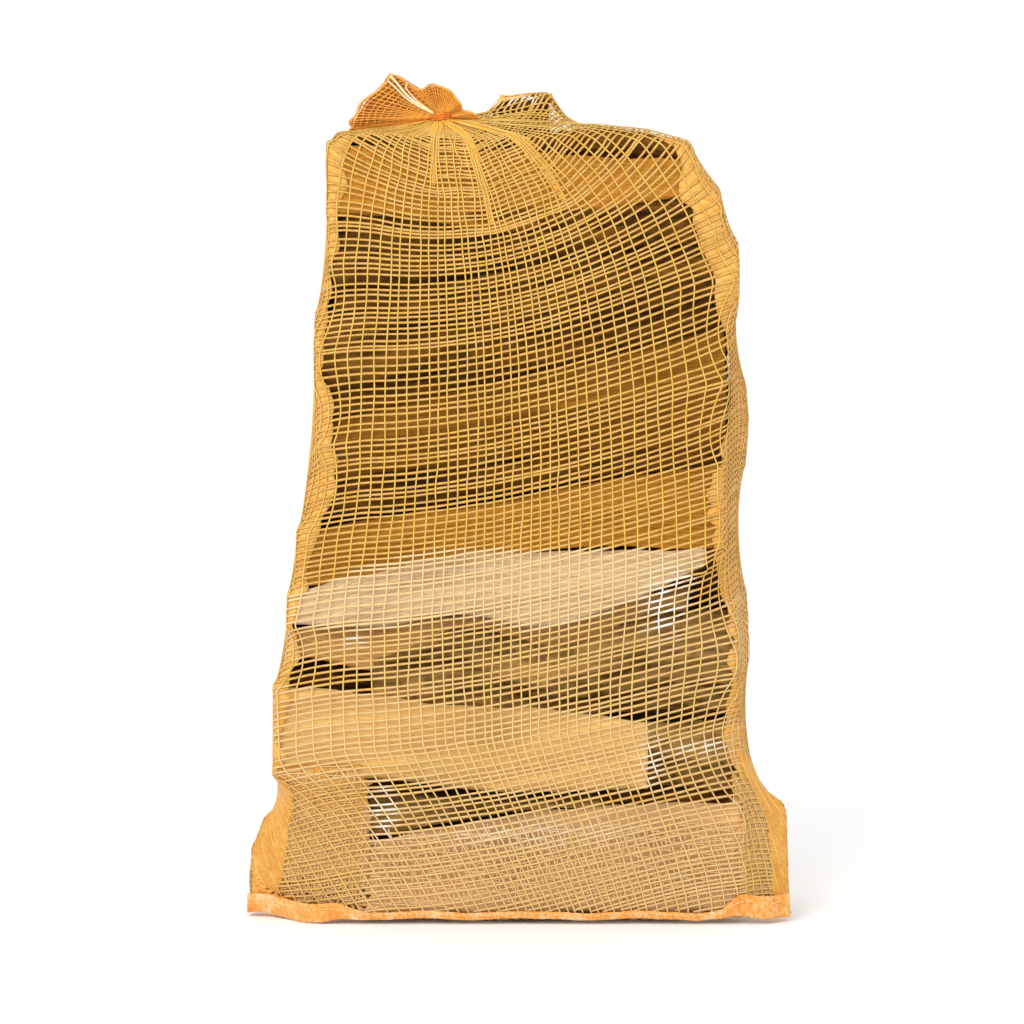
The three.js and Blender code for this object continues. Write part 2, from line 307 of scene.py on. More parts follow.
def wood(name, pale, deep, bark_pale, bark_deep):
    """Split wood, bark and sawn ends in one finish, told apart by the piece's own values. Timber is
    a point's place along the log and across it from the pith. Rings are waves of its distance from
    the pith, bent by noise; fibres are noise drawn out along the log; bark is furrowed noise."""
    n = Nodes(name)
    timber = n.attribute("timber", "Vector")
    bark, sawn, shade = (n.attribute(key) for key in ("bark", "sawn", "shade"))
    fibres = n.noise(n.stretched(timber, 6, 160, 160), 1.0, 4.0, 0.65)
    streaks = n.noise(n.stretched(timber, 5, 46, 46), 1.0, 3.0, 0.6)
    furrow = n.noise(n.stretched(timber, 9, 150, 150), 1.0, 5.0, 0.7)
    clouds = n.noise(n.stretched(timber, 9, 40, 40), 1.0, 3.0, 0.55)
    radius = n.vector("LENGTH", n.vector("MULTIPLY", timber, (0, 1, 1)), output="Value")
    phase = n.total((radius, 2300.0), (n.noise(timber, 22.0, 2.0), 14.0))
    rings = n.math("MULTIPLY_ADD", n.math("SINE", phase), 0.5, 0.5)
    tone = n.total((fibres, 0.75), (rings, 0.16), (streaks, 0.55))
    face = n.ramp(n.math("SUBTRACT", tone, 0.3, clamp=True), (0.2, pale), (0.8, deep))
    end = n.ramp(n.total((rings, 0.5), (fibres, 0.5)), (0.25, pale), (0.85, deep))
    face = n.mix(n.math("MULTIPLY", sawn, 0.8), face, end)
    bark_tone = n.math("SUBTRACT", n.total((furrow, 0.7), (clouds, 0.9)), 0.3)
    skin = n.ramp(bark_tone, (0.34, bark_deep), (0.66, bark_pale))
    height = n.math("ADD", n.math("MULTIPLY", fibres, 0.5), n.math("MULTIPLY", furrow, bark))
    bump = n.add("ShaderNodeBump", Strength=0.6, Distance=0.0015, Height=height)
    return n.finish(Base_Color=n.mix(shade, n.mix(bark, face, skin), srgb(40, 20, 0)),
                    Roughness=n.math("MULTIPLY_ADD", fibres, 0.2, 0.75), Specular_IOR_Level=0.12,
                    Normal=bump)


wood_finish = {name: wood("wood_" + name, *colours) for name, colours in WOODS.items()}


def log_mesh(name, log, seed):
    """A point goes round the slice at an even angle, out to radius 1 / gauge in the unit box, which
    is then stretched to the log's section at x. Furrows and fibres sink into that surface. Each
    end is closed by rings that shrink to the middle."""
    sides, is_bark, pith = slice_sides(*log[6])
    left, right = log[:2]
    kind = "kindling" if "kindling" in name else "back" if "back_" in name else "front"
    along_count, round_count = FINENESS[kind]
    u, v = np.meshgrid(np.linspace(0, 1, along_count), np.arange(round_count) / round_count,
                       indexing="ij")
    unit = np.cos(2 * math.pi * v), np.sin(2 * math.pi * v)
    radius = 1 / gauge(sides, *unit)
    across, up = unit[0] * radius, unit[1] * radius
    pull = sides[:, 0, None, None] * across + sides[:, 1, None, None] * up
    pull = np.maximum(0, pull) ** ROUNDNESS
    bark = (pull * is_bark[:, None, None]).sum(0) / pull.sum(0)
    x = left + (right - left) * u
    y, z, half_y, half_z = log_box(log, x)
    fibres = relief(u, v, (7, 44), seed) * 0.5 + relief(u, v, (14, 88), seed + 1) * 0.3
    waves = relief(u, v, (4, 9), seed + 2)
    plates = np.clip(1.6 * relief(u, v, (26, 26), seed + 3) - 0.3, 0, 1)
    sink = 0.35 + 0.9 * fibres + 1.5 * waves + 1.6 * bark * plates
    sink = sink * np.clip(np.hypot(half_y, half_z) / 30, 0.4, 1)
    keep = 1 - sink / np.hypot(across * half_y, up * half_z)
    x = x + 1.2 * (relief(u, v, (1, 20), seed + 4) - 0.5) * (np.abs(2 * u - 1) ** 40)
    rows = np.stack([x, y + across * half_y * keep, z + up * half_z * keep], -1)
    timber = np.stack([x, (across - pith[0]) * half_y * keep, (up - pith[1]) * half_z * keep], -1)
    patches = 0.5 * np.clip(1.4 * relief(u, v, (5, 7), seed + 5) - 0.87, 0, 1)
    shade = patches + 0.35 * bark * (plates > 0.8)
    points, grains = [rows.reshape(-1, 3)], [timber.reshape(-1, 3)]
    faces = grid_quads(along_count, round_count).tolist()
    start = along_count * round_count
    share = np.linspace(1, 0, END_RINGS + 1)[1:, None, None]
    for row, outwards in ((0, -1), (along_count - 1, 1)):
        disc = rows[row].mean(0) + (rows[row] - rows[row].mean(0)) * share
        round_it, inwards = v[:1] + 0 * share[..., 0], share[..., 0] + 0 * v[:1]
        disc[..., 0] -= outwards * 0.7 * relief(inwards, round_it, (5, 24), seed + 6)
        disc[-1] = disc[-1].mean(0)
        grain = timber[row].mean(0) + (timber[row] - timber[row].mean(0)) * share
        points += [disc[:-1].reshape(-1, 3), disc[-1, :1]]
        grains += [grain[:-1].reshape(-1, 3), grain[-1, :1]]
        rings = np.arange((END_RINGS - 1) * round_count).reshape(-1, round_count) + start
        rings = np.concatenate([row * round_count + np.arange(round_count)[None], rings])
        beside = np.roll(rings, -1, 1)
        over = np.stack([rings[:-1], beside[:-1], beside[1:], rings[1:]], -1).reshape(-1, 4)
        tip = start + (END_RINGS - 1) * round_count
        fan = np.stack([rings[-1], beside[-1], np.full(round_count, tip)], 1)
        faces += (over[:, ::outwards].tolist() + fan[:, ::outwards].tolist())
        start = tip + 1
    more = start - along_count * round_count
    sawn = np.r_[(u.ravel() <= 0) | (u.ravel() >= 1), np.ones(more, bool)]
    return (np.concatenate(points), faces,
            {"timber": np.concatenate(grains) * MM, "bark": np.r_[bark.ravel(), np.zeros(more)],
             "sawn": sawn, "shade": np.r_[shade.ravel(), np.zeros(more)]})


for number, (name, log) in enumerate(LOGS.items()):
    points, faces, values = log_mesh(name, log, 100 + OWN_SEEDS * number)
    piece = mesh_piece(name, points, faces, wood_finish[log[7]], **values)
    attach(piece, "root")
    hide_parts("filled_net")

# ---- the net, drawn tight over the logs ----------------------------------------------------------
# A seamless tube of 104 warps, some 800 mm round: sewn flat along its foot, slipped over the stack,
# drawn in at the top left and tied there. First its surface is found, then the tapes are laid on it.

WARPS = 104
HALF = WARPS // 2
FOOT_START, FOOT_LENGTH = -198, 396.5
FRONT_FOOT = (-140, 176)   # where the foot runs straight, in front of the lowest log
NECK = np.array([-56.0, -14.0, 587.0])
NECK_RADIUS = 5.6
CLEARANCE = 1.5            # from the logs to the middle of the net
UNDER_FOOT = 0.145         # share of a warp at the back that lies under the logs
LONGEST_STEP = 9           # that a point moves at a time on its way out of a log
# Over the top the net is slack and sinks beside the stub: its greatest height by x.
TOP_LINE = ([-60, -31, -17, -14.5, 24.5, 28, 36, 46, 61, 73, 90, 128],
            [600, 592, 595, 612, 612, 604, 592, 586.5, 585.5, 587.5, 580.5, 576])
# The two empty corners keep their spread, because the hem is stiff: heights, and how far out the
# net's edge is held there to the left and to the right.
CORNERS = {"left": ([0, 26, 51, 73, 86, 99, 112], [198.5, 198, 196, 187, 171, 162, 0]),
           "right": ([0, 20, 79, 86, 90, 103, 117], [198.5, 199.5, 199.5, 195, 184, 171, 0])}


def clear_of_logs(points, outwards, clearance):
    """Moves each point that is inside a log out of it along its own outward direction: by its depth
    under the log's surface over the cosine between that direction and the surface's normal, or to
    the log's sawn end if that is nearer."""
    flat, way = points.reshape(-1, 3), outwards.reshape(-1, 3)
    for log in LOGS.values():
        left, right = log[:2]
        about = [(left, right), (min(log[4]), max(log[5])), (min(log[2]), max(log[3]))]
        near = np.ones(len(flat), bool)
        for axis, (low, high) in enumerate(about):
            margin = clearance + (0 if axis == 0 else 12)
            near &= (flat[:, axis] > low - margin) & (flat[:, axis] < high + margin)
        near = np.flatnonzero(near)
        p, o = flat[near], way[near]
        middle_y, middle_z, half_y, half_z = log_box(log, p[:, 0])
        a, b = (p[:, 1] - middle_y) / half_y, (p[:, 2] - middle_z) / half_z
        close = (np.abs(a) < 1.3) & (np.abs(b) < 1.3)
        near, p, o, a, b, half_y, half_z = (part[close] for part in (near, p, o, a, b, half_y, half_z))
        sides = slice_sides(*log[6])[0]
        reach = np.maximum(1e-3, sides[:, :1] * a + sides[:, 1:] * b)
        power = reach ** 8
        power *= power
        g = power.sum(0) ** (1 / ROUNDNESS)
        pull = power / reach / (power.sum(0) / g)
        slope = np.stack([(pull * sides[:, :1]).sum(0) / half_y, (pull * sides[:, 1:]).sum(0) / half_z])
        steep = np.hypot(*slope)
        deep = (1 - g) / steep + clearance
        towards = (o[:, 1] * slope[0] + o[:, 2] * slope[1]) / steep
        step = np.where(towards > 0.15, deep / np.maximum(towards, 0.15), 30)
        room = np.where(o[:, 0] > 0, right + clearance - p[:, 0], p[:, 0] - left + clearance)
        sideways = np.abs(o[:, 0])
        step = np.minimum(step, np.where(sideways > 0.1, room / np.maximum(sideways, 0.1), 30))
        flat[near] = p + np.where(deep > 0, np.minimum(step, LONGEST_STEP), 0)[:, None] * o
    np.maximum(flat[:, 2], 1.3, out=flat[:, 2])
    return points


def foot_depth(x):
    """How far back the net's foot lies at x: in front of the lowest log, and 46 mm further back out
    in the two corners. Also returns how far x is in a corner, from 0 to 1."""
    corner = ease(np.abs(x - np.clip(x, *FRONT_FOOT)) / 52)
    return 2 - 54 * (1 - 0.85 * corner), corner


def foot_path(u, face):
    """The line along which the net is sewn shut, with u from 0 at the left to 1 at the right."""
    x = FOOT_START + FOOT_LENGTH * u
    y, corner = foot_depth(x)
    behind, height = (0, 5.5) if face == "front" else (0.9, 3.0)
    return np.stack([x, y + behind * (1 - corner), height + 0 * x], -1)


def pinned(columns):
    """The net's two held edges: the foot, and the ring of the neck."""
    half = columns // 2
    u = np.arange(half) / half
    foot = np.concatenate([foot_path(u, "front"), foot_path(1 - u, "back")])
    turn = 2 * math.pi * np.arange(columns) / columns
    neck = NECK + np.stack([-NECK_RADIUS * np.cos(turn), -NECK_RADIUS * np.sin(turn), 0 * turn], 1)
    return foot, neck


def signed_power(value, power):
    """A value raised to a power, with its sign kept."""
    return np.sign(value) * np.abs(value) ** power


def outward_of(net):
    """Which way is out of the stack at each point of the net: to the side near its two edges, to
    the front and back between them, up over the top of the stack and down under its foot."""
    turn = 2 * math.pi * np.arange(len(net))[:, None] / len(net) + 0 * net[..., 0]
    over = 1.6 * np.clip((net[..., 2] - 545) / 30, 0, 1)
    under = np.clip((UNDER_FOOT - np.linspace(0, 1, net.shape[1])) / 0.02, 0, 1)
    up = over - 9 * under * (np.sin(turn) < -0.1)
    way = np.stack([-signed_power(np.cos(turn), 3), -signed_power(np.sin(turn), 1.5), up], -1)
    return way / np.linalg.norm(way, axis=-1, keepdims=True)


def settle(net, rounds):
    """Each point of the net is drawn to the middle of its four neighbours, as in a stretched
    membrane, and kept out of the logs."""
    for _ in range(rounds):
        round_it = (np.roll(net, 1, 0) + np.roll(net, -1, 0))[:, 1:-1] / 2
        along_it = (net[:, :-2] + net[:, 2:]) / 2
        net[:, 1:-1] = 0.5 * round_it + 0.5 * along_it
        net[..., 2] = np.minimum(net[..., 2], np.interp(net[..., 0], *TOP_LINE))
        clear_of_logs(net, outward_of(net), CLEARANCE)
        net[:, 0], net[:, -1] = pinned(len(net))
        for edge, side, sign in ((0, "left", -1), (len(net) // 2, "right", 1)):
            held = np.interp(net[edge, :, 2], *CORNERS[side])
            net[edge, :, 0] = sign * np.maximum(sign * net[edge, :, 0], held)
    return net


def finer(net):
    """The net with twice the points each way, set on smooth curves through the old ones."""
    columns, rows = net.shape[:2]
    before, after, last = np.roll(net, 1, 0), np.roll(net, -1, 0), np.roll(net, -2, 0)
    wide = np.empty((2 * columns, rows, 3))
    wide[::2], wide[1::2] = net, (9 * (net + after) - before - last) / 16
    tall = np.empty((2 * columns, 2 * rows - 1, 3))
    tall[:, ::2] = wide
    tall[:, 1::2] = (wide[:, :-1] + wide[:, 1:]) / 2
    tall[:, 3:-3:2] = (9 * (wide[:, 1:-2] + wide[:, 2:-1]) - wide[:, :-3] - wide[:, 3:]) / 16
    return tall


# It starts as a wide, rounded box that is drawn in to the neck, with few points, and settles.
START_COLUMNS, START_ROWS = 46, 40
START_HALF_WIDTH, START_HALF_DEPTH, START_HEIGHT = 206, 84, 640
turn = 2 * math.pi * np.arange(START_COLUMNS)[:, None] / START_COLUMNS
v = np.linspace(0, 1, START_ROWS)[None, :]
close = ease((v - 0.8) / 0.2)
net = np.stack([-signed_power(np.cos(turn), 0.6) * START_HALF_WIDTH * (1 - close) + NECK[0] * close,
                -signed_power(np.sin(turn), 0.6) * START_HALF_DEPTH * (1 - close) + NECK[1] * close,
                START_HEIGHT * np.clip(v / 0.86, 0, 1) + (NECK[2] - START_HEIGHT) * close + 0 * turn], -1)
net = settle(net, 500)
net = settle(finer(net), 160)
net = settle(finer(net), 50)


# ---- the tapes of the net --------------------------------------------------------------------
# Flat polymer tapes: warps about 7 mm apart, chained over wefts that stand 3.75 to 4.7 mm apart. The
# cloth lies askew in the stack's front, so the wefts climb to the right there and come down behind.

WARP_WIDTH, WEFT_WIDTH, TAPE_THICK = 1.1475, 1.72, 0.5
WARP_LENGTH = 622.0
SPARE_LENGTH = 42                 # of wefts below the foot and above the neck, for their climb
WEFT_PITCH = (4.7, 3.75)          # at the foot and at the neck
WEFT_CLIMB = [6, 9, 12, 3, 8, 12, 15, 18, 20, 21, 15, 8]      # degrees, from left to right
FRONT_WIDTH = 340                 # of the stack, over which the wefts climb
FOOT_TWIST = 6.4
SIDE_CROWDING = 2.2               # the warps stand closer round the two sides, by up to this many
OWN_WAY = 0.618                   # steps that give each tape its own sway
SLACK_FROM = 0.74                 # share of a warp above which the tapes waver more

# Folds that run into the neck: which warp each follows, how many warps to either side it gathers,
# how strongly, how far down the net it starts, and how far it stands out.
FOLDS = [(4.5, 4.5, 0.85, 0.74, 2.2), (14, 2.8, 0.75, 0.80, 1.2), (19.3, 2.4, 0.9, 0.77, 2),
         (25.7, 2.8, 0.92, 0.725, 2.2), (33.8, 3.8, 0.92, 0.745, 3), (41, 2.6, 0.7, 0.82, 1),
         (47, 2.6, 0.6, 0.86, 0.6), (53, 3, 0.6, 0.88, 0.6), (60, 3.4, 0.8, 0.82, 1.5),
         (67, 3.4, 0.8, 0.8, 2), (74, 4, 0.85, 0.78, 2), (82, 3.4, 0.8, 0.8, 2),
         (90, 3.4, 0.8, 0.82, 1.5), (98, 4, 0.8, 0.80, 2)]


def outwards_from(surface):
    """The way out at each point of a grid that closes round its first axis, one unit long."""
    out = np.cross(np.roll(surface, -1, 0) - np.roll(surface, 1, 0), np.gradient(surface, axis=1))
    return out / (np.linalg.norm(out, axis=-1, keepdims=True) + 1e-9)


def on_net(surface, u, v):
    """Points of the surface at u warps round it and at the share v of its length, on smooth curves
    through its grid."""
    columns, rows = surface.shape[:2]
    a, b = np.mod(u, WARPS) * columns / WARPS, np.clip(v, 0, 1) * (rows - 1)
    i, j = np.floor(a).astype(int), np.minimum(np.floor(b).astype(int), rows - 2)
    across, up = cubic(a - i), cubic(b - j)
    total = 0
    for p in range(4):
        for q in range(4):
            corner = surface[(i + p - 1) % columns, np.clip(j + q - 1, 0, rows - 1)]
            total = total + (across[p] * up[q])[..., None] * corner
    return total


def tapes(runs, thick):
    """Closed tapes, each from a run: its path, the way out along it, its width, and how much of a
    knot each point is. Each ring has four corners, half the width to either side and half the
    thickness out and in, square to the path; the first and last rings are closed."""
    points, faces, knots, start = [], [], [], 0
    ring = np.arange(4)
    for path, out, width, knot in runs:
        along = np.gradient(path, axis=0)
        side = np.cross(out, along)
        side /= np.linalg.norm(side, axis=1, keepdims=True) + 1e-9
        out = np.cross(along, side)
        out /= np.linalg.norm(out, axis=1, keepdims=True) + 1e-9
        wide = side * np.broadcast_to(width, len(path))[:, None] / 2
        deep = out * thick / 2
        points.append(np.stack([path + wide, path + deep, path - wide, path - deep], 1).reshape(-1, 3))
        faces.append(grid_quads(len(path), 4)[:, ::-1] + start)
        faces.append(np.array([start + ring, start + 4 * (len(path) - 1) + ring[::-1]]))
        knots.append(knot)
        start += 4 * len(path)
    return np.concatenate(points), np.concatenate(faces).tolist(), np.repeat(np.concatenate(knots), 4)


def climb(u):
    """How far a weft has climbed at u warps round the net: the sum of its slopes across the front,
    given back evenly across the back."""
    at = np.linspace(0, HALF, 93)
    slope = np.interp(at, np.linspace(1, HALF - 1, len(WEFT_CLIMB)), WEFT_CLIMB)
    height = np.cumsum(np.tan(np.radians(slope))) * (FRONT_WIDTH / 92)
    height -= height[-1] / 2
    u = np.mod(u, WARPS)
    behind = height[-1] + (height[0] - height[-1]) * (u - HALF) / HALF
    return np.where(u <= HALF, np.interp(u, at, height), behind)


draw = np.random.default_rng(7)
wefts = [-float(SPARE_LENGTH)]
while wefts[-1] < WARP_LENGTH + SPARE_LENGTH:
    share = np.clip(wefts[-1] / WARP_LENGTH, 0, 1)
    pitch = WEFT_PITCH[0] + (WEFT_PITCH[1] - WEFT_PITCH[0]) * share
    uneven = 0.95 + 0.2 * np.clip(draw.normal(), -1.5, 1.8) + 0.7 * (draw.random() < 0.03)
    wefts.append(wefts[-1] + pitch * uneven)
wefts = np.array(wefts)
out_of_net = outwards_from(net)


def twisted(u, v):
    """The hem was sewn with the cloth pulled round: towards the foot a warp runs on to the right in
    front, and to the left behind, by up to FOOT_TWIST warps."""
    start = 0.17 + 0.05 * np.clip(np.mod(u, WARPS) / HALF, 0, 1)
    return u + FOOT_TWIST * np.clip(1 - v / start, 0, 1) ** 1.15


def laid(u, v, lift):
    """A run of tape on the net: its points, lifted off the surface, and the way out there."""
    out = on_net(out_of_net, u, v)
    return on_net(net, u, v) + out * np.reshape(lift, (-1, 1)), out


def gathered(u, v):
    """Where the warp that was at u lies at the share v of its length, and how far it stands out:
    moved towards the middle of its fold by a smooth hump across the fold, which grows to the neck."""
    lift = 0 * u
    for middle, reach, pull, start, height in FOLDS:
        off = (u - middle + HALF) % WARPS - HALF
        hump = np.clip(1 - (off / reach) ** 2, 0, 1)
        grow = np.clip((v - start) / (0.95 - start), 0, 1) ** 0.5
        u = u - off * pull * hump * grow
        lift = lift + height * hump ** 2 * np.sqrt(grow) * np.clip((1 - v) * 30, 0, 1)
    return u, lift


def sway(t, number, cells, seed):
    """How a tape sways along its length t: smooth and random from -0.5 to 0.5, other for each."""
    return relief(t, 0 * t + number * OWN_WAY, cells, seed) - 0.5


def slack(v):
    """How slack the tapes are at the share v of the net's length: from 0 to 1, up by the neck."""
    return np.clip((v - SLACK_FROM) / 0.08, 0, 1)


def weft_runs(face, first, last):
    """The wefts of one face, which wrap a little round the net's two edges."""
    runs = []
    for number, height in enumerate(wefts):
        u = np.linspace(first - 0.05, last + 0.05, 94)
        v = (height + climb(u)) / WARP_LENGTH
        inside = np.flatnonzero((v > 0.004) & (v < 0.996))
        if len(inside) < 6:
            continue
        start, end = u[inside[0]], u[inside[-1]]
        cells = max(4, int(end - start))
        u = np.linspace(start, end, (2 if face == "front" else 1) * cells + 1)
        if start < first:
            u = np.r_[first - 0.5, first - 0.25, u]
        if end > last:
            u = np.r_[u, last + 0.25, last + 0.5]
        v = (height + climb(u)) / WARP_LENGTH
        t = u / WARPS
        quick, slow = sway(t, number, (60, 7), 31), sway(t, number, (12, 9), 32)
        waver = 0.55 * (1 + 2 * slack(v)) * quick + 0.9 * slow
        v = (height + climb(u) + waver) / WARP_LENGTH
        stand = gathered(u, v)[1]
        path, out = laid(u, v - 1.3 * stand / WARP_LENGTH, stand * 0.9 - 0.22)
        width = WEFT_WIDTH * (0.9 + 0.25 * draw.random())
        runs.append((path, out, width, np.cos(2 * math.pi * u) * 0.5 + 0.5))
    return runs


def warp_runs(face, first, last):
    """The warps of one face, with a point at each weft, and in front one between the wefts too."""
    runs = []
    for number in range(first, last):
        levels = np.sort(np.r_[wefts, (wefts[1:] + wefts[:-1]) / 2]) if face == "front" else wefts
        v = (levels + climb(np.array(float(number)))) / WARP_LENGTH
        v = np.r_[0, v[(v > 0.003) & (v < 0.997)], 1]
        quick, slow = sway(v, number, (40, 7), 33), sway(v, number, (9, 7), 34)
        waver = 0.16 * (1 + 2.5 * slack(v)) * quick + 0.25 * slow
        even = number + SIDE_CROWDING * np.sin(4 * math.pi * number / WARPS)
        u, stand = gathered(even + waver * np.clip((1 - v) * 10, 0, 1), v)
        path, out = laid(twisted(u, v), v, 0)
        runs.append((path + out * (0.3 + stand)[:, None], out, WARP_WIDTH, 0 * v))
    return runs


# The tapes are thin, so over pale wood light comes through them: painted in as a paler tint. How pale each
# finish is, from 0 to 1.
PALE_WOOD = {"white": 1.0, "light": 0.6, "pink": 0.55, "olive": 0.4, "pale_brown": 0.4}
PALE_CORNERS, PALE_CORNER_TOP = 0.25, 135
# Where the tapes catch the light, seen from the front: x, z, half width, half height and strength.
GLINTS = [(108, 232, 15, 24, 1.0), (118, 252, 11, 8, 0.8), (-97, 82, 9, 19, 0.9),
          (134, 127, 24, 7, 0.6), (-2, 603.5, 18, 3, 1.0), (98, 118, 9, 20, 0.6),
          (-118, 205, 7, 6, 0.7), (4, 66, 70, 10, 0.25)]


def wood_behind(points):
    """How pale the wood is that lies behind each point: that of the outermost log there, or what
    stands for the pale layers in the two corners."""
    x, y, z = points.T
    pale = PALE_CORNERS * np.clip((PALE_CORNER_TOP - z) / 12, 0, 1)
    outermost = np.full(len(points), -99.0)
    for log in LOGS.values():
        middle_y, middle_z, half_y, half_z = log_box(log, np.clip(x, log[0], log[1]))
        reach = half_y + np.where(y < 0, -middle_y, middle_y)
        seen = (x > log[0]) & (x < log[1]) & (np.abs(z - middle_z) < half_z) & (reach > outermost)
        pale = np.where(seen, PALE_WOOD.get(log[7], 0), pale)
        outermost = np.where(seen, reach, outermost)
    return pale


def glints(points):
    """How much each point catches the light: round spots that fade out, broken up at random."""
    light = np.zeros(len(points))
    for x, z, wide, high, strength in GLINTS:
        away = ((points[:, 0] - x) / wide) ** 2 + ((points[:, 2] - z) / high) ** 2
        light = np.maximum(light, strength * np.clip(1.4 * np.exp(-away) - 0.1, 0, 1))
    across, up = np.mod(points[:, 0] / 400 + 0.5, 1), np.mod(points[:, 2] / 640, 1)
    return light * (points[:, 1] < 10) * np.clip(2.6 * relief(across, up, (110, 190), 35) - 0.6, 0, 1)


def polymer(name, deep, pale, knot_colour):
    """Glossy orange-yellow polymer: its colour wanders between a deep and a pale tone, and turns to that of
    a knot where a weft meets a warp, to cream over pale wood as painted light let through the tape, and
    white where it glints as a painted highlight."""
    n = Nodes(name)
    place = n.add("ShaderNodeTexCoord").outputs["Object"]
    knot, over, glint = (n.attribute(key) for key in ("knot", "over", "glint"))
    tone = n.total((n.noise(place, 60.0, 3.0), 0.5), (n.noise(place, 500.0, 2.0), 0.5))
    body = n.ramp(tone, (0.35, deep), (0.65, pale))
    body = n.mix(n.math("MULTIPLY", knot, 0.75), body, knot_colour)
    # painted light: the cream stands in for light let through the thin tape off the pale wood behind
    body = n.mix(n.math("MULTIPLY", over, 0.62), body, srgb(244, 218, 170))
    return n.finish(Base_Color=n.mix(glint, body, srgb(255, 248, 236)), Roughness=0.42,
                    Specular_IOR_Level=0.35)


def net_piece(name, node, points, faces, finish, **values):
    """A piece of the net, which takes the place of the plain solid called node."""
    piece = mesh_piece(name, points, faces, finish, **values)
    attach(piece, "root")
    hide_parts(node)


def tape_piece(name, node, runs, thick, finish):
    """A piece of the net made of tapes."""
    points, faces, knots = tapes(runs, thick)
    net_piece(name, node, points, faces, finish, knot=knots, over=wood_behind(points), glint=glints(points))


warp_finish = polymer("net_warp_polymer", srgb(216, 166, 66), srgb(240, 197, 97), srgb(247, 211, 130))
weft_finish = polymer("net_weft_polymer", srgb(194, 141, 63), srgb(222, 173, 98), srgb(230, 181, 85))
for face, first, last in (("front", 0, HALF), ("back", HALF, WARPS)):
    for name, runs, finish in (("net_wefts_", weft_runs, weft_finish),
                               ("net_warps_", warp_runs, warp_finish)):
        tape_piece(name + face, "filled_net", runs(face, first, last), TAPE_THICK, finish)

# ---- folds of the net ------------------------------------------------------------------------
# The tube is wider than the stack: what is left over lies folded inside it down its two sides and
# in the two corners at the foot, and in pleats that run into the neck.

EDGES = {"left": (0, 1), "right": (HALF, -1)}       # the net's edge, and the way round to the front
LOG_END = {"left": 108, "right": 160}               # where the corners begin, past the lowest log
CORNER_TOP = 0.172       # share of the net's length up to which the corners are empty
# From the foot to the neck, how far the side folds reach in from the net's edge, in millimetres:
# in front to the left, in front to the right, and behind.
FOLD_LEFT = [0, 0, 6, 7, 12, 13, 18, 26, 16, 9, 9, 12, 16, 20, 12, 8]
FOLD_RIGHT = [0, 0, 20, 19, 16, 19, 24, 24, 14, 10, 20, 25, 6, 6, 6, 6]
FOLD_BEHIND = [0, 3, 5, 6, 7, 8, 9]


def folded_net(name, deep, middle, pale, roughness, contrast):
    """Net in many layers: no holes are left, but the tapes' criss-cross still shows as fine waves
    along and across the fold, bent by noise. Lie is a point's place along and across, in metres.
    Gilt turns it golden, and open paints shade: it darkens what lies between the tapes."""
    n = Nodes(name)
    lie = n.attribute("lie", "Vector")
    gilt, painted_gap_shade = (n.attribute(key) for key in ("gilt", "open"))
    off = n.vector("SCALE", n.noise(lie, 90.0, 2.0, output="Color"), Scale=0.009)
    place = n.vector("ADD", lie, off)
    rows, strands = (n.add("ShaderNodeTexWave", {"bands_direction": direction}, Vector=place,
                           Scale=scale, Distortion=distortion).outputs[0]
                     for direction, scale, distortion in (("X", 85.0, 1.5), ("DIAGONAL", 90.0, 2.5)))
    cloud = n.noise(lie, 40.0, 5.0, 0.75)
    weave = n.math("MAXIMUM", n.math("MULTIPLY", rows, 0.85), strands)
    tone = n.total((weave, contrast), (cloud, 1.1 - contrast))
    plain = n.ramp(tone, (0.3, deep), (0.55, middle), (0.8, pale))
    golden = n.ramp(tone, (0.3, srgb(190, 124, 40)), (0.55, srgb(216, 154, 66)), (0.8, srgb(236, 186, 100)))
    gaps = n.math("SUBTRACT", 1.25, n.math("MULTIPLY", weave, 1.6), clamp=True)
    height = n.math("ADD", n.math("MULTIPLY", weave, 2 * contrast), cloud)
    bump = n.add("ShaderNodeBump", Strength=0.5, Distance=0.0008, Height=height)
    # painted shade: open darkens the gaps between the tapes to dark brown
    colour = n.mix(n.math("MULTIPLY", painted_gap_shade, gaps), n.mix(gilt, plain, golden), srgb(92, 52, 8))
    return n.finish(Base_Color=colour, Roughness=roughness, Specular_IOR_Level=0.3, Normal=bump)


def patch(surface, outs, middle, half, v, inside, thick, ridges, seed, across_count, ragged=0.12):
    """A closed patch that lies on a surface: at each v it reaches half (in warps) to either side of
    its middle. Its under side is lifted by inside, and its upper side by thick more, times a round
    crown across it and shallow ridges along it."""
    across = np.linspace(-1, 1, across_count)
    edge = ragged * (relief(np.linspace(0, 1, len(v)), 0 * v + 0.3, (60, 5), seed) - 0.5)
    u = middle[:, None] + half[:, None] * (across + edge[:, None])
    vv = np.broadcast_to(v[:, None], u.shape)
    base, out = on_net(surface, u, vv), on_net(outs, u, vv)
    bumps = relief(vv, (u * 0 + across * 0.5 + 0.5), (60, 9), seed + 1)
    shallow = 0.55 + 0.35 * bumps + 0.2 * np.cos(ridges * math.pi * across + 5 * bumps)
    crown = np.sqrt(np.clip(1 - across ** 4, 0, 1)) * shallow
    ends = np.clip(np.minimum(v - v[0], v[-1] - v) / 0.012, 0, 1)[:, None]
    top = base + out * (inside + thick * crown * np.sqrt(ends) + 0.05)[..., None]
    low = base + out * (inside + 0 * crown)[..., None]
    ring = np.concatenate([top, low[:, ::-1]], 1)
    count = ring.shape[1]
    along, beside = np.broadcast_to(v[:, None] * 620, ring.shape[:2]), np.concatenate([u, u[:, ::-1]], 1) * 8
    lie = np.stack([along, beside, 0 * along], -1) * MM
    faces = grid_quads(len(v), count).tolist()
    k = np.arange(across_count - 1)
    for start in (0, (len(v) - 1) * count):
        lid = np.stack([start + k, start + k + 1, start + count - 2 - k, start + count - 1 - k], 1)
        faces += (lid if start else lid[:, ::-1]).tolist()
    return ring.reshape(-1, 3), faces, lie.reshape(-1, 3)


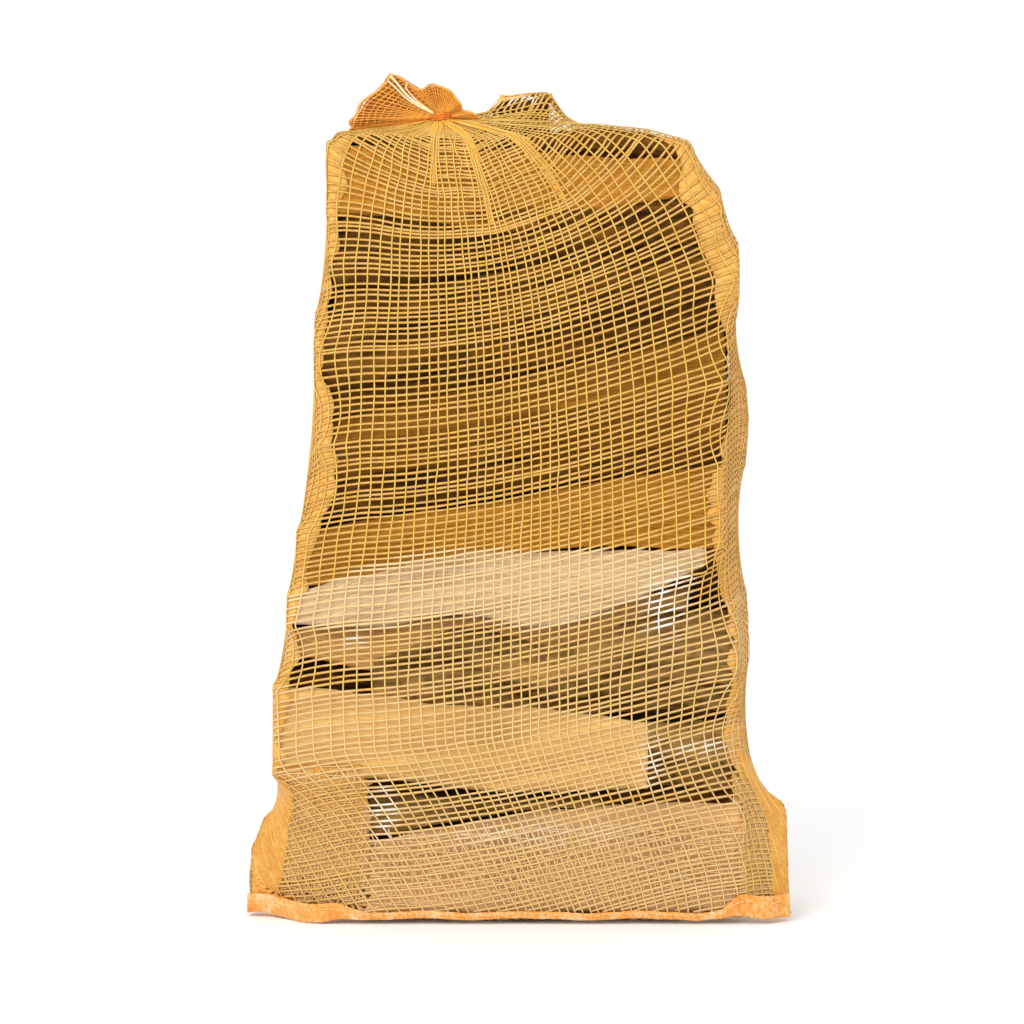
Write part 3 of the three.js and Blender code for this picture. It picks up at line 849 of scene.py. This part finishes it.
def spacing(surface, u, v):
    """Millimetres from warp to warp at a place on the net."""
    return np.linalg.norm(on_net(surface, u + 0.5, v) - on_net(surface, u - 0.5, v), axis=-1)


def net_fold(name, node, parts, finish, values=lambda points: {}):
    """One piece from several patches that don't touch each other's points."""
    start, faces = 0, []
    for part in parts:
        faces += [[corner + start for corner in face] for face in part[1]]
        start += len(part[0])
    points, lie = (np.concatenate([part[place] for part in parts]) for place in (0, 2))
    net_piece(name, node, points, faces, finish, lie=lie, **values(points))


def edge_to(v, edge, way, inwards):
    """How many warps it is at each v from the net's edge column to where the net has come in from
    its outermost x there by a given distance. Way is 1 or -1, the direction round the net."""
    steps = np.linspace(0, 22, 177)[None]
    x = np.abs(on_net(net, edge + way * steps, v[:, None] + 0 * steps)[..., 0])
    about = np.linspace(edge - 3, edge + 3, 25)[None]
    outer = np.abs(on_net(net, about, v[:, None] + 0 * about))[..., 0].max(1)
    far = x < (outer - inwards)[:, None]
    found = np.where(far.any(1), steps[0, far.argmax(1)], steps[0, -1])
    return np.convolve(np.pad(found, 6, mode="edge"), np.ones(13) / 13, mode="valid")


def to_log_end(v, side, behind=False):
    """How many warps it is at each v from the net's edge to the lowest log's end, in front or, to
    4 mm short of it, behind."""
    edge, way = EDGES[side]
    inwards = np.abs(on_net(net, edge + 0 * v, v))[:, 0] - LOG_END[side] - (4 if behind else 0)
    return edge_to(v, edge, -way if behind else way, np.maximum(inwards, 2))


def edge_patch(side, v, ahead, behind, *form):
    """A patch round the net's edge, ahead warps to the front and behind warps to the back."""
    edge, way = EDGES[side]
    middle, half = edge + way * (ahead - behind) / 2, (ahead + behind) / 2
    return patch(net, out_of_net, middle, half, v, *form)


def side_fold(side, front, top, seed):
    """The spare width folded down one side, from the corner up to top."""
    edge, way = EDGES[side]
    v = np.linspace(0.13, top, 200)
    ahead = edge_to(v, edge, way, np.maximum(curve(front, v), 3))
    behind = np.interp(v, np.linspace(0, 1, len(FOLD_BEHIND)), FOLD_BEHIND)
    behind = np.minimum(edge_to(v, edge, -way, behind), 4.6 + 1.1 * np.sin(38 * v + seed))
    return edge_patch(side, v, ahead, behind, -1.35, 0.62, 5, seed, 25, 0.2)


def corner_edge(side, front, seed):
    """The outer edge of a corner, doubled over."""
    edge, way = EDGES[side]
    v = np.linspace(0.006, CORNER_TOP + 0.03, 50)
    ahead, behind = edge_to(v, edge, way, curve(front, v / v[-1])), edge_to(v, edge, -way, 5 + 0 * v)
    return edge_patch(side, v, ahead, behind, -0.5, 1.2, 4, seed, 17, 0.25)


def corner_values(points):
    """Golden out near the net's edge and high up, and open low down between there and the log, where it
    paints shade between the tapes.
    """
    x, z = np.abs(points[:, 0]), points[:, 2]
    golden_from = 156 if points[0, 0] < 0 else 172
    return {"gilt": np.clip((x - golden_from) / 22, 0, 1) + np.clip((z - 78) / 16, 0, 1),
            "open": 1.6 * np.clip((35 - z) / 8, 0, 1) * np.clip((188 - x) / 6, 0, 1)}


side_finish = folded_net("net_folded", srgb(202, 140, 52), srgb(224, 166, 74), srgb(238, 190, 102),
                         0.5, 0.2)
net_fold("net_side_folds", "filled_net",
         [side_fold("left", FOLD_LEFT, 0.965, 51), side_fold("right", FOLD_RIGHT, 0.785, 61)], side_finish)
edge_finish = folded_net("net_edges", srgb(192, 128, 44), srgb(212, 150, 62), srgb(228, 176, 92),
                         0.45, 0.12)
net_fold("net_corner_edges", "filled_net", [corner_edge("left", (16, 26, 24, 12, 4), 65),
                                            corner_edge("right", (10, 12, 14, 16, 12), 67)], edge_finish)
corner_finish = folded_net("net_crumpled", srgb(204, 152, 86), srgb(220, 168, 100),
                           srgb(234, 188, 124), 0.7, 0.25)
v = np.linspace(0.004, CORNER_TOP, 60)
for side, seed in (("left", 71), ("right", 81)):
    layers = edge_patch(side, v, to_log_end(v, side), to_log_end(v, side, behind=True),
                        -2.6, 1.4, 9, seed, 61, 0.06)
    net_fold("net_corner_" + side, "filled_net", [layers], corner_finish, corner_values)

# Over those layers, and over the lowest log, lies one more of plain net, askew to the outer one.
INNER_WARPS, INNER_WEFTS = -0.75, -0.95       # how far under the outer net they lie
INNER_FEWEST = 5                              # points in a run that is worth making
INNER_TOP = 0.086                             # share of the net's length that it covers of the log


def corner_lining(side):
    """The inner net over one corner: warps that lean in to the stack, and wefts across them."""
    edge, way = EDGES[side]
    v = np.linspace(0.014, CORNER_TOP - 0.006, 30)
    ahead = to_log_end(v, side)
    runs = []
    for share in np.arange(-0.3, 1.3, 0.035):
        lean = share + 0.3 * (v / CORNER_TOP - 0.5) * way + 0.01 * np.sin(v * 300 + share * 40)
        keep = (lean > -0.05) & (lean < 0.98)
        if keep.sum() >= INNER_FEWEST:
            path, out = laid(edge + way * ahead[keep] * lean[keep], v[keep], INNER_WARPS)
            runs.append((path, out, 0.95, 0.3 + 0 * v[keep]))
    for level in np.arange(9, CORNER_TOP * WARP_LENGTH - 3, 3.1):
        share = np.linspace(-0.05, 0.97, 24)
        up = level / WARP_LENGTH + 0.012 * way * (share - 0.5) + 0.0014 * np.sin(share * 25 + level)
        up = np.clip(up, 0.008, CORNER_TOP)
        path, out = laid(edge + way * np.interp(up, v, ahead) * share, up, INNER_WEFTS)
        runs.append((path, out, 1.0, 0.5 + 0.5 * np.cos(share * 160)))
    return runs


def log_lining():
    """The inner net over the lowest log, from one of its ends to the other."""
    v = np.linspace(0.012, 0.13, 26)
    first, last = to_log_end(v, "left"), HALF - to_log_end(v, "right")
    runs = []
    for number, share in enumerate(np.arange(-0.05, 1.05, 0.0175)):
        lean = share + 0.05 * (1 - v / 0.1) + 0.004 * np.sin(v * 260 + number * 1.9)
        top = INNER_TOP + 0.002 + 0.03 * share + 0.008 * math.sin(number * 2.4)
        keep = (lean > 0) & (lean < 1) & (v < top)
        if keep.sum() >= INNER_FEWEST:
            path, out = laid((first + (last - first) * lean)[keep], v[keep], INNER_WARPS)
            runs.append((path, out, 1.0, 0.3 + 0 * v[keep]))
    for level in np.arange(9, 66, 3.4):
        share = np.linspace(0, 1, 90)
        up = level / WARP_LENGTH + 0.028 * (share - 0.4) + 0.002 * np.sin(share * 31 + level)
        up = np.clip(up, 0.008, 0.13)
        share = share[up < INNER_TOP + 0.03 * share]
        up = up[:len(share)]
        if len(share) > 8:
            u = np.interp(up, v, first) * (1 - share) + np.interp(up, v, last) * share
            path, out = laid(u, up, INNER_WEFTS)
            runs.append((path, out, 1.05, 0.5 + 0.5 * np.cos(share * 380)))
    return runs


inner_finish = polymer("net_inner_polymer", srgb(216, 164, 94), srgb(234, 188, 120), srgb(232, 186, 114))
tape_piece("net_lining", "filled_net", corner_lining("left") + corner_lining("right") + log_lining(),
           0.4, inner_finish)

pleats = []
for number, (middle, reach, pull, start, height) in enumerate(FOLDS):
    if height < 1.5:
        continue
    v = np.linspace(start + 0.01, 0.992, 60)
    u = middle + 0 * v
    grow = np.clip((v - start) / (1 - start), 0, 1)
    width = (0.8 + 2.1 * height * np.sqrt(grow)) * np.clip((1 - v) * 12 + 0.35, 0, 1)
    inside = np.maximum(height * np.sqrt(grow) * np.clip((1 - v) * 30, 0, 1) - 0.8, 0.1)[:, None]
    pleats.append(patch(net, out_of_net, u, width / spacing(net, u, v), v, inside, 0.9, 2, 91 + number, 9))
pleat_finish = folded_net("net_pleats", srgb(220, 146, 42), srgb(238, 168, 62), srgb(250, 194, 96),
                          0.45, 0.2)
net_fold("net_neck_pleats", "filled_net", pleats, pleat_finish)

# ---- the hem ---------------------------------------------------------------------------------
# The foot of the tube, turned over twice and sewn: a flat glossy strip, deeper and wavy in the two
# corners, with a row of chain stitches along it.

HEM_SECTION, HEM_STEPS = 16, 260
HEM_END = 199.6
HEM_HEIGHT = {"middle": 5.4, "left": 13.6, "right": 16.5}
HEM_CORNER = {"left": 96, "right": 56}
HEM_GAP = 2.0            # from the net to the middle of the hem
STITCH_PITCH, STITCH_LENGTH, STITCH_WIDTH = 4.4, 3.2, 0.9

# The net's foremost points, just above its foot.
low_net = on_net(net, *np.meshgrid(np.linspace(0, HALF, 260), np.linspace(0.004, 0.032, 8)))
low_net = low_net.reshape(-1, 3)


def hem_line(x):
    """Place of the hem's middle, its lower edge and its height at x, and how far x is in a corner.
    In the corners it lies in front of the net that bulges there."""
    side = x < 0
    length = np.where(side, HEM_CORNER["left"], HEM_CORNER["right"])
    corner = 1 - ease((200 - np.abs(x) - length * 0.6) / (length * 0.4))
    tall = np.where(side, HEM_HEIGHT["left"], HEM_HEIGHT["right"])
    height = HEM_HEIGHT["middle"] + (tall - HEM_HEIGHT["middle"]) * corner
    wave = 0.5 + 0.5 * np.sin(5 * math.pi * x / 200 + 1)
    corner_low = np.where(side, 1.4 * (1 + np.sin(x / 11)), 4.4 + np.sin(x / 11))
    low = 4 * (0.6 + 0.4 * wave) * (1 - corner) + corner_low * corner
    y = foot_depth(x)[0] - HEM_GAP
    beside = np.abs(low_net[:, 0] - np.clip(x, -195, 195)[:, None]) < 5
    foremost = np.where(beside, low_net[:, 1], 0).min(1)
    return y + corner * (np.minimum(foremost - HEM_GAP - y, 0) - np.sin(x / 9)), low, height, corner


def rod_faces(rows, columns):
    """The faces of a closed rod: round its sides, and one at each end."""
    last = (rows - 1) * columns
    return (grid_quads(rows, columns)[:, ::-1].tolist()
            + [list(range(columns)), list(range(last + columns - 1, last - 1, -1))])


x = np.linspace(-HEM_END, HEM_END, HEM_STEPS)[:, None]
t = np.linspace(0, 1, HEM_STEPS)[:, None]
y, low, height, corner = (value[:, None] for value in hem_line(x[:, 0]))
back = 1.3 + np.maximum(foot_depth(x)[0] - y - 1.5, 0)      # as far as the net's foot
turn = 2 * math.pi * np.arange(HEM_SECTION) / HEM_SECTION
deep, tall = signed_power(np.cos(turn), 0.7), signed_power(np.sin(turn), 0.55) * height / 2
crease = relief(t + 0 * turn, turn / (2 * math.pi) + 0 * x, (70, 8), 121)
strip = np.stack([x + 0 * turn,
                  y - np.maximum(deep, 0) * (1.0 + 0.5 * crease) - np.minimum(deep, 0) * back
                  + 0.5 * np.sin(x / 5) * corner,
                  low + height / 2 + 0.75 * sway(t, 0, (34, 5), 122) + tall + 0.6 * (crease - 0.5)], -1)
lie = np.stack([x + 0 * turn, tall, 0 * tall], -1) * MM
# The hem's palest, near-white tone is painted highlight on the glossy strip; its deeper tones are its own
# orange.
hem_finish = folded_net("net_hem", srgb(206, 118, 34), srgb(234, 158, 72), srgb(255, 220, 176), 0.3, 0.12)
net_piece("net_hem", "bottom_hem", strip.reshape(-1, 3), rod_faces(HEM_STEPS, HEM_SECTION), hem_finish,
          lie=lie.reshape(-1, 3))

stitches = []
for number, place in enumerate(np.arange(-192, 193, STITCH_PITCH)):
    along = np.linspace(place - STITCH_LENGTH / 2, place + STITCH_LENGTH / 2, 6)
    y, low, height, corner = hem_line(along)
    bow = np.sqrt(np.clip(1 - ((along - place) / 1.9) ** 2, 0, 1))
    path = np.stack([along, y - 1.25 - 0.45 * bow, low + height * 0.7 + 0.3 * np.sin(number * 2.4)], 1)
    stitches.append((path, np.tile([0.0, -1.0, 0.0], (6, 1)), STITCH_WIDTH, np.ones(6)))
tape_piece("net_hem_stitches", "bottom_hem", stitches, 0.7, warp_finish)

# ---- the mouth -------------------------------------------------------------------------------
# The loose end of the tube above the tie, crushed into a fan that leans to the left: the same warps
# and wefts, spread from the neck out to an uneven rim that has rolled over on itself.

MOUTH_CENTRE = (NECK[0], 589)
MOUTH_SWING = (187.5, 0)         # degrees, from the rim's left end over the top to its right end
# The reach of the rim from the neck, by that angle.
RIM = ([0, 5, 20, 40, 54, 87, 105, 115, 124, 131, 136, 139, 147, 162, 173, 181, 188],
       [28, 25, 16.6, 17, 18, 22.5, 24.7, 23.5, 23, 27, 44, 49, 48.5, 53, 59.6, 65, 66])
MOUTH_WEFTS = range(3, 14)


def mouth_surface(columns, rows):
    """A flattened cone with its point in the neck: round the tube the direction swings from low on
    the left over the top to the right and back, along it the reach grows to the rim, and pleats push
    it to and fro."""
    turn = 2 * math.pi * np.arange(columns)[:, None] / columns
    out = np.linspace(0, 1, rows)[None, :] + 0 * turn
    across = 0.5 - 0.5 * np.cos(turn) + 0 * out
    degrees = MOUTH_SWING[0] + (MOUTH_SWING[1] - MOUTH_SWING[0]) * across ** 1.35
    reach = 1.2 + (np.interp(degrees, *RIM) - 1.2) * out
    reach = reach * (1 + 0.03 * out * np.sin(9 * turn))
    angle = np.radians(degrees)
    thick = (NECK_RADIUS * (1 - out) + 8.5 * out) * np.sin(turn) * (1 + 0.4 * out * np.sin(14 * turn))
    y = NECK[1] - 0.9 * thick - 3.0 * out * np.sin(6 * math.pi * across) - 1.5 * out
    return np.stack([MOUTH_CENTRE[0] + reach * np.cos(angle), y,
                     MOUTH_CENTRE[1] + reach * np.sin(angle)], -1)


mouth = mouth_surface(2 * WARPS, 40)
out_of_mouth = outwards_from(mouth)


def mouth_run(u, out, lift, width, knot):
    """A tape that runs on the mouth through the places u, out."""
    away = on_net(out_of_mouth, u, out)
    return on_net(mouth, u, out) + away * lift, away, width, knot


v = np.linspace(0, 1, 26)
round_it = np.linspace(0, WARPS, 2 * WARPS + 1)
at_weft, at_warp = (0.5 + 0.5 * np.cos(2 * math.pi * place) for place in (v * 13, round_it))
runs = [mouth_run(number + 0.5 * sway(v, number, (6, 7), 141), v, 0.3, 1.1, at_weft)
        for number in range(WARPS)]
for number in MOUTH_WEFTS:
    out = np.clip(number / 13.2 + 0.03 * sway(round_it / WARPS, number, (40, 7), 142), 0, 0.998)
    runs.append(mouth_run(round_it, out, 0, 1.3, at_warp))
# The rolled rim, and the pale rolled edge of the leaf that lies to the front.
rolled = 0.985 + 0.012 * np.sin(round_it)
runs.append(mouth_run(round_it, rolled, 0.5, 1.9, 1 + 0 * round_it))
mouth_finish = polymer("net_mouth_polymer", srgb(208, 124, 24), srgb(236, 158, 54), srgb(244, 180, 84))
tape_piece("net_mouth", "gathered_mouth", runs, 0.6, mouth_finish)
rims = [mouth_run(place + 1.2 * v - 0.6 * np.sin(5 * v), 0.1 + 0.89 * v, 1.5, width, 1 + 0 * v)
        for place, width in ((18.6, 1.5), (19.6, 2.4), (20.8, 1.5))]
rim_finish = polymer("net_rim_polymer", srgb(232, 178, 96), srgb(255, 232, 196), srgb(255, 226, 180))
tape_piece("net_mouth_rim", "gathered_mouth", rims, 0.7, rim_finish)

# What shows between the tapes of the mouth: its inner leaves, brown in the shade of the left leaf,
# deep orange where they crowd together.
leaf_finish = folded_net("net_mouth_leaves", srgb(176, 80, 4), srgb(212, 116, 24), srgb(236, 160, 74),
                         0.4, 0.25)
v = np.linspace(0.03, 0.955, 46)
leaves = [patch(mouth, out_of_mouth, middle + 0 * v, 4.3 + 0 * v, v, -1.3, 0.7, 3, 151 + number, 13)
          for number, middle in enumerate(np.arange(4.0, 101, 8.7))]
# open paints the shade of the left leaf: left of x = -78 mm the gaps between the tapes darken
net_fold("net_mouth_leaves", "gathered_mouth", leaves, leaf_finish,
         lambda points: {"open": 3 * np.clip((-78 - points[:, 0]) / 8, 0, 1)})

# ---- the tie ---------------------------------------------------------------------------------
# A thin twisted string of the same polymer, wound three times round the neck and pulled tight.

TIE_TURNS, TIE_STEPS, TIE_SECTION = 3.15, 150, 12
TIE_RADIUS, TIE_RISE = 7.3, 1.75         # round the neck, and up at each turn
STRING_RADIUS = 1.15
TWISTS = 5                               # of the string's two strands at each turn

turn = np.linspace(0, 2 * math.pi * TIE_TURNS, TIE_STEPS)
string = np.stack([NECK[0] - (TIE_RADIUS + 0.35 * np.sin(turn / 3)) * np.cos(turn),
                   NECK[1] - TIE_RADIUS * np.sin(turn),
                   NECK[2] + 0.4 + TIE_RISE * turn / (2 * math.pi)], -1)
forward = np.gradient(string, axis=0)
forward /= np.linalg.norm(forward, axis=1, keepdims=True)
away = np.stack([-np.cos(turn), -np.sin(turn), 0 * turn], -1)
upright = np.cross(forward, away)
around = 2 * math.pi * np.arange(TIE_SECTION) / TIE_SECTION
thickness = STRING_RADIUS + 0.22 * np.cos(2 * (around[None] - TWISTS * turn[:, None]))
outwards = (np.cos(around)[None, :, None] * away[:, None]
            + np.sin(around)[None, :, None] * upright[:, None])
coil = string[:, None] + thickness[..., None] * outwards
lie = np.stack([turn[:, None] * TIE_RADIUS + 0 * around, around * 1.2 + 0 * turn[:, None],
                0 * thickness], -1) * MM
net_piece("net_tie", "tie_ring", coil.reshape(-1, 3), rod_faces(TIE_STEPS, TIE_SECTION), leaf_finish,
          lie=lie.reshape(-1, 3))

for leftover in [o for o in bpy.data.objects if o.name in ("Cube", "Light", "Camera")]:
    bpy.data.objects.remove(leftover)

# ---- floor, light and camera -----------------------------------------------------------------
# A plain pale floor, white light from all round and one soft lamp, as in a studio, and a long lens
# that looks down on the object a little. Here lengths are in metres.

FLOOR_HALF, FLOOR_DROP = 6, 0.0005
floor_mesh = bpy.data.meshes.new("floor")
corners = [(FLOOR_HALF * x, FLOOR_HALF * y, -FLOOR_DROP) for x, y in ((-1, -1), (1, -1), (1, 1), (-1, 1))]
floor_mesh.from_pydata(corners, [], [(0, 1, 2, 3)])
floor = bpy.data.objects.new("floor", floor_mesh)
bpy.context.scene.collection.objects.link(floor)
floor_mesh.materials.append(Nodes("floor").finish(Base_Color=(1, 1, 1, 1), Roughness=1.0,
                                                  Specular_IOR_Level=0.0))

world = bpy.data.worlds.new("studio")
bpy.context.scene.world = world
world.use_nodes = True
world.node_tree.nodes["Background"].inputs[0].default_value = (1, 1, 1, 1)
world.node_tree.nodes["Background"].inputs[1].default_value = 1.0

light = bpy.data.lights.new("key", "AREA")
light.size, light.energy = 1.2, 30
lamp = bpy.data.objects.new("key", light)
lamp.location = (-1.0, -2.0, 1.8)
lamp.rotation_euler = (Vector((0, 0, 0.3)) - lamp.location).to_track_quat("-Z", "Y").to_euler()
bpy.context.scene.collection.objects.link(lamp)

VIEW_WIDTH = 0.7516                      # that the photograph shows, at the aim
AIM = (-0.0037, -0.03, 0.2995)
TILT = math.radians(2.0)
camera = bpy.data.cameras.new("camera")
camera.lens, camera.sensor_width = 100, 36
distance = VIEW_WIDTH * camera.lens / camera.sensor_width
eye = bpy.data.objects.new("camera", camera)
eye.location = (AIM[0], AIM[1] - distance * math.cos(TILT), AIM[2] + distance * math.sin(TILT))
eye.rotation_euler = (math.pi / 2 - TILT, 0, 0)
bpy.context.scene.collection.objects.link(eye)
bpy.context.scene.camera = eye
bpy.context.scene.view_settings.view_transform = "Standard"
